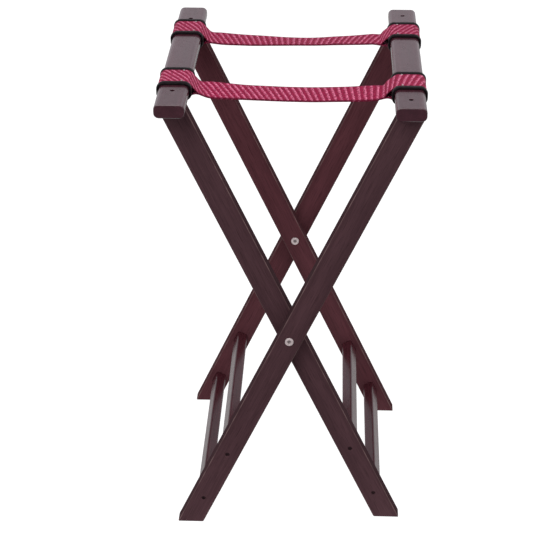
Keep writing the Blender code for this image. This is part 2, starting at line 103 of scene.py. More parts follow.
SEWN_Z = RAIL_MIDDLE.z - 0.0045
STRAP_LAYERS = 0.0026        # both layers of a strap together
STRAP_RISE = 0.0042          # how far a strap climbs where it nears its loop
STRAP_BEND = 0.012           # the length of that bend
STRAP_SEAM = 0.0255          # from the rack's middle to where a strap is cut in two
STRAP_SLACK = 0.004          # how far a layer is drawn past the rack's middle before it is cut
STRAP_TRIM = 0.0006          # how much narrower a strap is than its loop in the frame
STRAP_STEPS = 250            # faces along one layer of a strap
STRAP_ROWS = 12              # and across it
RIPPLE = 0.0007              # how far a strap's free part ripples
LAYER_CLEARANCE = 0.00005    # from each layer to the strap's middle, so the two don't touch
PARTING = {"top": 0.009, "bottom": 0.011}          # from a sewn end to where the layers part
LOOP_GAP = 0.0017            # from the wood to the inside of a strap's loop
UPPER_TURNS = {"outer": 52, "inner": 41}           # a strap's turn on a rail's upper inner edge
UPPER_RUNS = {"outer": 0.0130, "inner": 0.0098}    # and its straight run down from there
LOWER_TURN = 62              # a strap's turn on a rail's lower inner edge
LOWER_RUN = 0.0070           # and its straight run up from there

# How a piece took the stain: its cast on red, green and blue, and its gloss. The legs' strong
# casts are partly painted reflection, lifting and greying the stain as a mirrored pale floor
# would.
RAIL_STAIN = ((1.1, 1.2, 1.35), 0.5)
RUNG_STAIN = ((1.15, 1.1, 1.1), 0.33)
LEG_STAINS_AND_REFLECTIONS = {"front": ((1.65, 3.3, 2.75), 0.012), "rear": ((2.0, 2.75, 2.4), 0.03)}

# Each strap's light lines: the terms of their slant along the strap, and how strong every
# second line is
STRAP_LINES = {"front": ((0.30, -1.9, -2.1, -15.0), 1.0), "rear": ((0.0, -3.0, 0.0, 0.0), 0.85)}

SOCKET_DEPTH = 0.0018        # the hexagon socket in a bolt or nut
CROSS_ARM = (0.0036, 0.0008, 0.0020)               # one arm of a screw's cross recess
CROSS_TAPER = 0.45           # the arm's size at its bottom, as a share of its size at the top
TACK_DOME = 0.0006           # how high a tack's head is domed

LAMPS = {"key": ((-1.1, -1.5, 2.9), 1.0), "fill": ((1.5, -0.7, 2.9), 0.6)}    # place, power
LAMP_SIZE = 2.4
LAMP_AIM = (0, 0, 0.4)
GLOW_START = (-0.52, -0.27)  # where on Y the floor's glow begins to light the rack
CEILING_START = (20, 34)     # the heights at which the studio's walls fade to its ceiling
CAMERA_PLACE = (0.0610, -2.4901, 1.6860)
CAMERA_TURNS = (2.4586, 27.3836, -0.1486)          # heading, tilt below level and roll
CAMERA_LENS = 108.5          # millimetres


# Small helpers

def start_clean():
    """Object mode with nothing selected."""
    if bpy.context.object and bpy.context.object.mode != "OBJECT":
        bpy.ops.object.mode_set(mode="OBJECT")
    bpy.ops.object.select_all(action="DESELECT")


def only(piece):
    """Selects one piece and makes it active."""
    start_clean()
    piece.select_set(True)
    bpy.context.view_layer.objects.active = piece


def settle(piece):
    """Leaves the piece's object at the origin, unturned and unscaled."""
    only(piece)
    bpy.ops.object.transform_apply(location=True, rotation=True, scale=True)


def apply_modifier(piece, kind, **values):
    only(piece)
    step = piece.modifiers.new(kind.lower(), kind)
    for key, value in values.items():
        setattr(step, key, value)
    bpy.ops.object.modifier_apply(modifier=step.name)


def pick_faces(piece, wanted):
    """In edit mode afterwards, with just the faces selected for which wanted(face) is true."""
    only(piece)
    bpy.ops.object.mode_set(mode="EDIT")
    bpy.ops.mesh.select_mode(type="FACE")
    bpy.ops.mesh.select_all(action="DESELECT")
    bpy.ops.object.mode_set(mode="OBJECT")
    for face in piece.data.polygons:
        face.select = wanted(face)
    bpy.ops.object.mode_set(mode="EDIT")


def outward(piece):
    """Faces turned outwards, doubles merged."""
    only(piece)
    bpy.ops.object.mode_set(mode="EDIT")
    bpy.ops.mesh.select_all(action="SELECT")
    bpy.ops.mesh.remove_doubles(threshold=0.00001)
    bpy.ops.mesh.normals_make_consistent(inside=False)
    bpy.ops.object.mode_set(mode="OBJECT")


def smooth(piece, degrees):
    only(piece)
    bpy.ops.object.shade_smooth_by_angle(angle=math.radians(degrees))


def name_piece(piece, name, finish):
    piece.name = name
    piece.data.name = name
    piece.data.materials.clear()
    piece.data.materials.append(finish)


def paint(node, finish):
    """Gives one of the frame's own pieces a finish."""
    for slot in node.material_slots:
        slot.material = finish


def round_edges(piece, width, segments, sharper_than):
    """Rounds every edge that is sharper than an angle in degrees."""
    apply_modifier(
        piece, "BEVEL", width=width, segments=segments, limit_method="ANGLE",
        angle_limit=math.radians(sharper_than),
    )


def ease(share):
    """0 to 1, level at both ends."""
    share = min(1.0, max(0.0, share))
    return share * share * (3 - 2 * share)


def swell(x, middle, width):
    """1 at the middle, fading away on both sides."""
    return math.exp(-(((x - middle) / width) ** 2))


def steps_between(start, end, steps=12):
    return [start + (end - start) * k / steps for k in range(steps + 1)]


# Finishes

class Finish:
    """A material's node tree, with short calls to add and join its nodes."""

    def __init__(self, name):
        self.material = bpy.data.materials.new(name)
        self.material.use_nodes = True
        self.tree = self.material.node_tree
        self.shader = self.tree.nodes["Principled BSDF"]

    def add(self, kind, **values):
        made = self.tree.nodes.new("ShaderNode" + kind)
        for key, value in values.items():
            setattr(made, key, value)
        return made

    def join(self, source, target):
        self.tree.links.new(source, target)

    def set(self, **values):
        """Sets the shader's own sockets: Base_Color=..., Coat_Weight=..."""
        for key, value in values.items():
            self.shader.inputs[key.replace("_", " ")].default_value = value

    def math(self, operation, first, second=0.0, third=None, clamp=False):
        made = self.add("Math", operation=operation, use_clamp=clamp)
        for socket, value in zip(made.inputs, (first, second, third)):
            if value is None:
                continue
            if isinstance(value, (int, float)):
                socket.default_value = value
            else:
                self.join(value, socket)
        return made.outputs[0]

    def place(self, turn=(0, 0, 0), move=(0, 0, 0)):
        """Object coordinates turned and moved."""
        coordinates = self.add("TexCoord")
        mapping = self.add("Mapping")
        mapping.inputs["Rotation"].default_value = turn
        mapping.inputs["Location"].default_value = move
        self.join(coordinates.outputs["Object"], mapping.inputs["Vector"])
        return mapping.outputs[0]

    def stretch(self, vector, scale):
        """The vector scaled along each axis: a larger scale gives a finer pattern."""
        made = self.add("Mapping")
        made.inputs["Scale"].default_value = scale
        self.join(vector, made.inputs["Vector"])
        return made.outputs[0]

    def noise(self, vector, scale, detail=3.0, roughness=0.55):
        made = self.add("TexNoise")
        made.inputs["Scale"].default_value = scale
        made.inputs["Detail"].default_value = detail
        made.inputs["Roughness"].default_value = roughness
        self.join(vector, made.inputs["Vector"])
        return made.outputs["Fac"]

    def split(self, vector):
        """The X, Y and Z of a vector."""
        made = self.add("SeparateXYZ")
        self.join(vector, made.inputs[0])
        return made.outputs

    def range(self, value, low, high, to_low=0.0, to_high=1.0):
        """A smooth step from one number to another as the value goes from low to high."""
        made = self.add("MapRange", interpolation_type="SMOOTHSTEP")
        self.join(value, made.inputs["Value"])
        set_range(made, low, high, to_low, to_high)
        return made.outputs[0]

    def mix(self, share, first, second):
        """A blend of two colours, each a colour or a socket."""
        made = self.add("Mix", data_type="RGBA")
        self.join(share, made.inputs["Factor"])
        for socket, value in ((made.inputs[6], first), (made.inputs[7], second)):
            if isinstance(value, (tuple, Vector)):
                socket.default_value = (*value[:3], 1.0)
            else:
                self.join(value, socket)
        return made.outputs[2]

    def bump(self, height, depth, strength):
        """Relief of the given depth in metres."""
        made = self.add("Bump")
        made.inputs["Strength"].default_value = strength
        made.inputs["Distance"].default_value = depth
        self.join(height, made.inputs["Height"])
        self.join(made.outputs[0], self.shader.inputs["Normal"])


def set_range(node, low, high, to_low, to_high):
    names = ("From Min", "From Max", "To Min", "To Max")
    for name, number in zip(names, (low, high, to_low, to_high)):
        node.inputs[name].default_value = number


def colour(value):
    return tuple(value)[:3]


def mahogany(name, wood, turn, middle, stain, arris=None):
    """Stained, lacquered wood. turn takes the grain onto X, middle is the middle of the piece
    and stain says how it took the stain; on the legs its cast is partly painted reflection.
    arris is (half thickness, half width) of a leg, whose narrow faces get painted shade and
    whose corners are lighter, partly rubbed through and partly a painted highlight."""
    cast, gloss = stain
    finish = Finish(name)
    spin = Matrix.Rotation(turn[1], 3, "Y") @ Matrix.Rotation(turn[2], 3, "Z")
    grain = finish.place(turn, -(spin @ Vector(middle)))
    figure = finish.noise(finish.stretch(grain, (1.3, 26, 26)), 2.2, 5.0, 0.6)
    streaks = finish.noise(finish.stretch(grain, (7, 330, 330)), 1.6, 3.0, 0.6)
    pores = finish.noise(finish.stretch(grain, (28, 1500, 1500)), 1.0, 2.0, 0.5)
    drift = finish.noise(grain, 5.5, 2.0)
    dark, light = (
        Vector(part * strength * share for part, strength in zip(colour(wood.stain), cast))
        for share in (0.84, 1.17)
    )
    tone = finish.mix(finish.range(figure, 0.32, 0.70), dark, light)
    tone = finish.mix(finish.range(streaks, 0.50, 0.72, 0.0, wood.figure), tone, light * 1.5)
    tone = finish.mix(finish.range(pores, 0.56, 0.66, 0.0, 0.55), tone, dark * 0.35)
    tone = finish.mix(finish.range(drift, 0.35, 0.75, 0.0, 0.35), tone, dark * 0.8)
    scuffs = finish.noise(grain, 60, 5.0, 0.7)
    rough = finish.range(scuffs, 0.35, 0.70, wood.roughness * 0.9, wood.roughness * 1.15)
    if arris:
        tone, rough = leg_edges(finish, wood, grain, arris, tone, rough, dark)
    finish.join(tone, finish.shader.inputs["Base Color"])
    finish.join(rough, finish.shader.inputs["Roughness"])
    relief = finish.math("MULTIPLY_ADD", streaks, 0.5, finish.math("MULTIPLY", pores, 0.5))
    finish.bump(relief, 0.00006, 0.25)
    finish.set(IOR=1.5, Specular_IOR_Level=gloss)
    finish.set(Coat_Weight=wood.lacquer * gloss * 2, Coat_Roughness=0.12, Coat_IOR=1.5)
    return finish.material


def leg_edges(finish, wood, grain, arris, tone, rough, dark):
    """The colour and roughness of a leg: narrow faces rougher, and darker as painted shade, and
    corners lighter, partly rubbed through and partly a painted highlight.
    """
    parts = finish.split(grain)
    broad, narrow = (
        finish.range(finish.math("ABSOLUTE", parts[axis]), half - 0.0018, half - 0.0006)
        for axis, half in zip((1, 2), arris)
    )
    # Painted shade: the narrow faces are darkened, so the upper ones, lit from above, stay as dark
    # as the broad faces.
    tone = finish.mix(finish.math("MULTIPLY", narrow, wood.edge), tone, dark * 0.1)
    patches = finish.noise(finish.stretch(grain, (14, 60, 60)), 2.5, 4.0)
    patchy = finish.math("MULTIPLY_ADD", finish.range(patches, 0.38, 0.62), 0.6, 0.4)
    # Lighter corners: partly rubbed-through wood, partly a painted highlight along the arrises.
    worn_and_highlit = finish.math("MULTIPLY", finish.math("MULTIPLY", broad, narrow), patchy)
    tone = finish.mix(finish.math("MULTIPLY", worn_and_highlit, wood.wear_and_highlight), tone, colour(wood.bare))
    return tone, finish.math("MAXIMUM", rough, finish.math("MULTIPLY", narrow, 0.95))


def webbing(name, cloth, slants, faint):
    """Flat woven strap. The piece's UV map gives metres along it and across it. slants are the
    terms of the light lines' slant along the strap, and faint is the strength of every second
    line."""
    finish = Finish(name)
    weave_map = finish.add("UVMap", uv_map="Weave").outputs[0]
    along, across, _ = finish.split(weave_map)
    base = Vector(colour(cloth.colour))
    deep = base * 0.50

    speckle = finish.noise(finish.stretch(weave_map, (700, 900, 1)), 1.0, 2.0)
    clumps = finish.noise(finish.stretch(weave_map, (260, 380, 1)), 1.0, 3.0, 0.75)
    mottle = finish.math("MULTIPLY_ADD", speckle, 0.5, finish.math("MULTIPLY", clumps, 0.5))
    tone = finish.mix(finish.range(mottle, 0.42, 0.58), deep, base * 1.45)

    line = light_line(finish, weave_map, along, across, cloth.spacing, slants, faint)
    broken = finish.range(clumps, 0.42, 0.58, 0.12, 1.25)
    line = finish.math("MULTIPLY", line, broken, clamp=True)
    tone = finish.mix(line, tone, colour(cloth.line))

    half = STRAP_WIDTH / 2
    edge = finish.range(finish.math("ABSOLUTE", across), half - 0.0032, half - 0.0010)
    tone = finish.mix(finish.math("MULTIPLY", edge, 0.75), tone, deep * 0.8)
    finish.join(tone, finish.shader.inputs["Base Color"])

    weft = finish.math("SINE", finish.math("MULTIPLY", along, 2 * math.pi / cloth.rib))
    thread = finish.math("MULTIPLY", across, 2 * math.pi / (cloth.rib * 0.8))
    weave = finish.math("MULTIPLY", weft, finish.math("SINE", thread))
    height = finish.math("MULTIPLY_ADD", weave, 0.5, finish.math("MULTIPLY", speckle, 0.8))
    finish.bump(height, 0.00025, 0.6)
    finish.set(Roughness=0.75, Specular_IOR_Level=0.15, Sheen_Weight=0.02, Sheen_Roughness=0.4)
    finish.set(Sheen_Tint=(1.0, 0.75, 0.82, 1.0))
    return finish.material


def light_line(finish, weave_map, along, across, spacing, slants, faint):
    """0 to 1: the thin slanting lines woven across a strap."""
    lean = finish.math("MULTIPLY_ADD", along, slants[3], slants[2])
    for slant in slants[1::-1]:
        lean = finish.math("MULTIPLY_ADD", lean, along, slant)
    phase = finish.math("MULTIPLY_ADD", lean, across, along)
    wobble = finish.noise(finish.stretch(weave_map, (90, 160, 1)), 1.0, 2.0)
    phase = finish.math("MULTIPLY_ADD", wobble, 0.0022, phase)
    turns = finish.math("DIVIDE", phase, spacing)
    share = finish.math("FRACT", turns)
    rise = finish.range(share, 0.38, 0.86)
    fall = finish.range(share, 0.90, 0.99, 1.0, 0.0)
    pair = finish.math("FRACT", finish.math("MULTIPLY", turns, 0.5))
    second = finish.range(pair, 0.48, 0.52, faint, 1.0)
    return finish.math("MULTIPLY", finish.math("MULTIPLY", rise, fall), second)


def sleeve_finish(name, soft):
    """Soft black rubber, a little cloudy."""
    finish = Finish(name)
    place = finish.place()
    cloud = finish.noise(place, 180, 4.0)
    fine = finish.noise(place, 1600, 2.0)
    base = Vector(colour(soft.colour))
    tone = finish.mix(finish.range(cloud, 0.35, 0.7), base * 0.7, base * 1.8)
    finish.join(tone, finish.shader.inputs["Base Color"])
    finish.join(finish.range(cloud, 0.3, 0.75, 0.42, 0.62), finish.shader.inputs["Roughness"])
    finish.bump(finish.math("MULTIPLY_ADD", fine, 0.5, cloud), 0.0002, 0.35)
    finish.set(Specular_IOR_Level=0.18)
    return finish.material


def metal(name, tone, roughness, bare=1.0, socket=None):
    """Plated or plain metal. bare is how metallic it shows, less under dull plating. socket is
    the radius about the pivot's axis inside which the colour is darkened: painted shade of the
    socket."""
    finish = Finish(name)
    place = finish.place()
    cloud = finish.noise(place, 300, 4.0)
    scratch = finish.noise(finish.stretch(place, (900, 250, 900)), 1.0, 3.0)
    base = Vector(colour(tone))
    shade = finish.mix(finish.range(cloud, 0.35, 0.7), base * 0.78, base)
    if socket:
        x, _, z = finish.split(finish.place(move=-PIVOT))
        squares = finish.math("MULTIPLY_ADD", z, z, finish.math("POWER", x, 2.0))
        reach = finish.math("SQRT", squares)
        # Painted shade: darker within the socket's radius of the pivot's axis.
        shade = finish.mix(finish.range(reach, socket * 0.9, socket * 1.3), base * 0.36, shade)
    finish.join(shade, finish.shader.inputs["Base Color"])
    finish.join(
        finish.range(scratch, 0.3, 0.7, roughness * 0.8, roughness * 1.3),
        finish.shader.inputs["Roughness"],
    )
    finish.bump(scratch, 0.00004, 0.3)
    finish.set(Metallic=bare)
    return finish.material


def nylon(name, tone):
    """Smooth nylon, slightly uneven in colour."""
    finish = Finish(name)
    cloud = finish.noise(finish.place(), 400, 3.0)
    base = Vector(colour(tone))
    finish.join(finish.mix(cloud, base * 0.85, base * 1.1), finish.shader.inputs["Base Color"])
    finish.join(finish.range(cloud, 0.3, 0.7, 0.4, 0.55), finish.shader.inputs["Roughness"])
    finish.bump(cloud, 0.00003, 0.3)
    return finish.material


# Settings

class WoodSettings(bpy.types.PropertyGroup):
    stain: bpy.props.FloatVectorProperty(
        name="Stain", description="Colour of the stained wood", subtype="COLOR", size=3,
        min=0, max=1, default=(0.052, 0.0130, 0.0180),
    )
    # The lighter corner colour on the legs: rubbed-through wood, and partly a painted highlight
    # along the arrises.
    bare: bpy.props.FloatVectorProperty(
        name="Worn edge", description="Colour where a corner has rubbed through", subtype="COLOR",
        size=3, min=0, max=1, default=(0.30, 0.20, 0.19),
    )
    roughness: bpy.props.FloatProperty(
        name="Roughness", description="Roughness of the lacquer", subtype="FACTOR",
        min=0.05, max=1, default=0.24,
    )
    lacquer: bpy.props.FloatProperty(
        name="Lacquer", description="Strength of the clear top coat", subtype="FACTOR",
        min=0, max=1, default=0.10,
    )
    # Painted shade: how far the legs' narrow faces are darkened.
    edge: bpy.props.FloatProperty(
        name="Edges", description="How much darker the stain is on the legs' narrow faces",
        subtype="FACTOR", min=0, max=1, default=0.40,
    )
    figure: bpy.props.FloatProperty(
        name="Figure", description="Strength of the light streaks in the grain", subtype="FACTOR",
        min=0, max=1, default=0.22,
    )
    # How strongly the leg corners are lightened: partly rubbed through, partly a painted
    # highlight.
    wear_and_highlight: bpy.props.FloatProperty(
        name="Wear", description="How far the legs' corners have rubbed through",
        subtype="FACTOR", min=0, max=1, default=0.55,
    )


class WebbingSettings(bpy.types.PropertyGroup):
    colour: bpy.props.FloatVectorProperty(
        name="Colour", description="Colour of the webbing", subtype="COLOR", size=3,
        min=0, max=1, default=(0.27, 0.0085, 0.048),
    )
    line: bpy.props.FloatVectorProperty(
        name="Light line", description="Colour of the thin lines across the webbing",
        subtype="COLOR", size=3, min=0, max=1, default=(0.76, 0.20, 0.335),
    )
    spacing: bpy.props.FloatProperty(
        name="Line spacing", description="From one light line to the next", subtype="DISTANCE",
        unit="LENGTH", min=0.002, max=0.05, default=0.0099,
    )
    rib: bpy.props.FloatProperty(
        name="Rib", description="Width of one rib of the weave", subtype="DISTANCE",
        unit="LENGTH", min=0.0005, max=0.005, default=0.0016,
    )
    thickness: bpy.props.FloatProperty(
        name="Thickness", description="Thickness of one layer of webbing", subtype="DISTANCE",
        unit="LENGTH", min=0.0005, max=0.003, default=0.0013,
    )
    twist: bpy.props.FloatProperty(
        name="Twist", description="How far the straps hang out of true, 0 for dead straight",
        subtype="FACTOR", min=0, max=1, default=1.0,
    )


class SleeveSettings(bpy.types.PropertyGroup):
    colour: bpy.props.FloatVectorProperty(
        name="Colour", description="Colour of the soft sleeves", subtype="COLOR", size=3,
        min=0, max=1, default=(0.0045, 0.0022, 0.0030),
    )
    rim: bpy.props.FloatProperty(
        name="Rim", description="How far a sleeve's rims stand off the rail", subtype="DISTANCE",
        unit="LENGTH", min=0.001, max=0.01, default=0.0043,
    )
    skin: bpy.props.FloatProperty(
        name="Skin", description="Wall of a sleeve under the strap", subtype="DISTANCE",
        unit="LENGTH", min=0.0005, max=0.003, default=0.0010,
    )


class HardwareSettings(bpy.types.PropertyGroup):
    zinc: bpy.props.FloatVectorProperty(
        name="Bolts", description="Colour of the bolts and nuts", subtype="COLOR", size=3,
        min=0, max=1, default=(0.86, 0.74, 0.73),
    )
    screw: bpy.props.FloatVectorProperty(
        name="Screws", description="Colour of the wood screws", subtype="COLOR", size=3,
        min=0, max=1, default=(0.060, 0.033, 0.037),
    )
    tack: bpy.props.FloatVectorProperty(
        name="Tacks", description="Colour of the tacks", subtype="COLOR", size=3,
        min=0, max=1, default=(0.72, 0.58, 0.60),
    )
    nylon: bpy.props.FloatVectorProperty(
        name="Washers", description="Colour of the nylon washers", subtype="COLOR", size=3,
        min=0, max=1, default=(0.30, 0.28, 0.26),
    )
    socket: bpy.props.FloatProperty(
        name="Socket", description="Width across the flats of the bolts' hexagon socket",
        subtype="DISTANCE", unit="LENGTH", min=0.002, max=0.01, default=0.006,
    )


class StageSettings(bpy.types.PropertyGroup):
    floor: bpy.props.FloatVectorProperty(
        name="Floor", description="Colour of the floor under its glow", subtype="COLOR", size=3,
        min=0, max=1, default=(0.20, 0.20, 0.20),
    )
    glow: bpy.props.FloatProperty(
        name="Glow", description="How white the floor shows", min=0, max=3, default=1.0,
    )
    bounce: bpy.props.FloatProperty(
        name="Bounce", description="Share of the floor's glow that lights the rack", min=0, max=1,
        subtype="FACTOR", default=0.52,
    )
    air: bpy.props.FloatVectorProperty(
        name="Air", description="Colour of the studio's soft light", subtype="COLOR", size=3,
        min=0, max=1, default=(0.98, 0.94, 1.0),
    )
    key: bpy.props.FloatProperty(
        name="Key light", description="Power of the large soft light overhead", subtype="POWER",
        unit="POWER", min=0, max=1000, default=52,
    )
    horizon: bpy.props.FloatProperty(
        name="Horizon", description="Brightness of the studio near the horizon", min=0, max=5,
        default=0.85,
    )
    sky: bpy.props.FloatProperty(
        name="Ceiling", description="Brightness of the studio overhead", min=0, max=5,
        default=0.30,
    )


# Strap and sleeve lines, in the plane of a rail's section: inward is towards the rack's middle

def rail_corners():
    """The middles of a rail's four rounded edges, anticlockwise from the upper inner one."""
    inward = RAIL.x / 2 - RAIL_ROUNDING
    up = RAIL.z / 2 - RAIL_ROUNDING
    ways = ((inward, up), (-inward, up), (-inward, -up), (inward, -up))
    return [Vector(way) for way in ways]


def at_angle(turn):
    return Vector((math.cos(turn), math.sin(turn)))


def leaving_angle(here, radius, there, other_radius):
    """The direction from a circle's middle to where a belt leaves it for the next circle."""
    gap = there - here
    return math.atan2(gap.y, gap.x) - math.acos((radius - other_radius) / gap.length)


def belt(circles, arc_steps=10, run_steps=4):
    """Points on a belt stretched round circles given anticlockwise as (middle, radius). The
    count doesn't depend on the radii, so belts of different sizes can be skinned together."""
    points = []
    count = len(circles)
    for n, (here, radius) in enumerate(circles):
        before, before_radius = circles[n - 1]
        after, after_radius = circles[(n + 1) % count]
        start = leaving_angle(before, before_radius, here, radius)
        end = leaving_angle(here, radius, after, after_radius)
        while end < start:
            end += 2 * math.pi
        arc = [here + radius * at_angle(turn) for turn in steps_between(start, end, arc_steps)]
        if points:
            last = points[-1]
            points += [last.lerp(arc[0], k / run_steps) for k in range(1, run_steps)]
        points += arc
    first, last = points[0], points[-1]
    points += [last.lerp(first, k / run_steps) for k in range(1, run_steps)]
    return points


def hanging_height(x):
    """The height of the middle of a strap between its sewn ends."""
    low = STRAP_LOW + STRAP_LAYERS / 2
    share = x / SEWN_X
    sag = (SEWN_Z - low - STRAP_RISE) * share * share
    return low + sag + STRAP_RISE * math.exp((x - SEWN_X) / STRAP_BEND)


def curve_between(start, start_way, end, end_way, steps=14):
    """A smooth bend from one straight run to another."""
    reach = (end - start).length * 0.42
    handles = [start, start + start_way * reach, end - end_way * reach, end]
    line = []
    for k in range(steps + 1):
        t = k / steps
        weights = ((1 - t) ** 3, 3 * t * (1 - t) ** 2, 3 * t * t * (1 - t), t ** 3)
        line.append(sum((h * w for h, w in zip(handles, weights)), Vector((0, 0))))
    return line


def hanging_run(offset, start, end, steps=90):
    """Points along one layer of the strap's hanging part, offset from its middle."""
    line = []
    nudge = 0.0002
    for x in steps_between(start, end, steps):
        slope = (hanging_height(x + nudge) - hanging_height(x - nudge)) / (2 * nudge)
        normal = Vector((-slope, 1)).normalized()
        line.append(Vector((x, hanging_height(x))) + normal * offset)
    return line


def strap_line(cloth, side):
    """The middle line of one layer of webbing, drawn on the +X side: along the top from past
    the middle of the rack, round the rail, and back underneath."""
    centre = Vector((RAIL_MIDDLE.x, RAIL_MIDDLE.z))
    radius = RAIL_ROUNDING + LOOP_GAP + cloth.thickness / 2
    corners = [centre + Vector((-c.x, c.y)) for c in rail_corners()]
    layer = (STRAP_LAYERS - cloth.thickness) / 2 + LAYER_CLEARANCE
    upper_turn, lower_turn = math.radians(UPPER_TURNS[side]), math.radians(LOWER_TURN)
    turns = (math.pi - upper_turn, math.pi / 2, 0, -math.pi / 2, lower_turn - math.pi)
    round_rail = []
    for corner, start, end in zip(corners, turns, turns[1:]):
        round_rail += [corner + radius * at_angle(turn) for turn in steps_between(start, end)]
    top = hanging_run(layer, -STRAP_SLACK, SEWN_X - PARTING["top"])
    bottom = hanging_run(-layer, SEWN_X - PARTING["bottom"], -STRAP_SLACK)
    down = Vector((-math.sin(upper_turn), -math.cos(upper_turn)))
    rising = Vector((-math.sin(lower_turn), math.cos(lower_turn)))
    sewn_top = round_rail[0] + down * UPPER_RUNS[side]
    sewn_bottom = round_rail[-1] + rising * LOWER_RUN
    line = top + curve_between(top[-1], (top[-1] - top[-2]).normalized(), sewn_top, -down)[1:]
    line += round_rail
    line += curve_between(sewn_bottom, rising, bottom[0], (bottom[1] - bottom[0]).normalized())
    return line + bottom[1:]


def hang_of_strap(end, x):
    """(how far the middle of a strap is off its line, how much higher its far edge is than its
    near edge) at a place along it: neither strap was sewn on quite flat."""
    free = 1 - ease((abs(x) - 0.128) / 0.024)       # 0 where the strap lies on its rail
    if end == "front":
        rise = -0.0017 * swell(x, 0, 0.085) + 0.0006 * swell(x, 0.12, 0.03)
        tilt = 0.0033 + 0.0036 * swell(x, -0.122, 0.030) + 0.0012 * swell(x, 0.122, 0.030)
    else:
        rise = 0.0015 + 0.0030 * ease(x / 0.13)
        tilt = -0.0063 * swell(x, 0.012, 0.060) - 0.0026 * swell(x, 0.090, 0.040)
        tilt += 0.0016 * swell(x, -0.125, 0.02)
    return free * rise, free * tilt


def even_steps(line, count):
    """(point, distance) at equal distances along a line of points."""
    lengths = [0.0]
    for first, second in zip(line, line[1:]):
        lengths.append(lengths[-1] + (second - first).length)
    spots = []
    n = 0
    for k in range(count + 1):
        distance = lengths[-1] * k / count
        while n < len(lengths) - 2 and lengths[n + 1] < distance:
            n += 1
        run = lengths[n + 1] - lengths[n]
        share = (distance - lengths[n]) / run if run else 0
        spots.append((line[n].lerp(line[n + 1], share), distance))
    return spots


def outer_face(node, way):
    """The middle of a node's outermost face on the side that way, along one axis, points to."""
    low, high = (Vector(corner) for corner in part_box(node))
    face = (low + high) / 2
    for axis, step in enumerate(way):
        if step:
            face[axis] = high[axis] if step > 0 else low[axis]
    return face


# Operators

class RACK_OT_wood(bpy.types.Operator):
    """Stain and lacquer the legs, rails and rungs"""
    bl_idname = "rack.wood"
    bl_label = "Finish the Wood"

    def execute(self, context):
        wood = context.scene.rack_wood
        for side in SIDES:
            self.bar(wood, f"{side}_top_rail", f"{side}_rail_wood", RAIL_STAIN)
            for level in ("upper", "lower"):
                self.bar(wood, f"{side}_rung_{level}", f"{side}_{level}_rung_wood", RUNG_STAIN)
            for end in ENDS:
                self.leg(wood, side, end)
        return {"FINISHED"}

    def bar(self, wood, node, name, stain):
        """Finishes a rail or a rung, whose grain runs along Y."""
        turn = (0, 0, -math.pi / 2)
        paint(frame["nodes"][node], mahogany(name, wood, turn, node_middle(node), stain))

    def leg(self, wood, side, end):
        node = f"{side}_leg_{end}"
        middle = Vector((0, node_middle(node).y, PIVOT.z))
        turn = (0, SIDES[side] * (math.pi / 2 - math.radians(LEG_TILT)), 0)
        arris = (LEG_THICKNESS / 2, LEG_WIDTH / 2)
        # The leg's cast is partly painted reflection of the pale floor.
        finish = mahogany(f"{side}_{end}_leg_wood", wood, turn, middle, LEG_STAINS_AND_REFLECTIONS[end], arris)
        paint(frame["nodes"][node], finish)


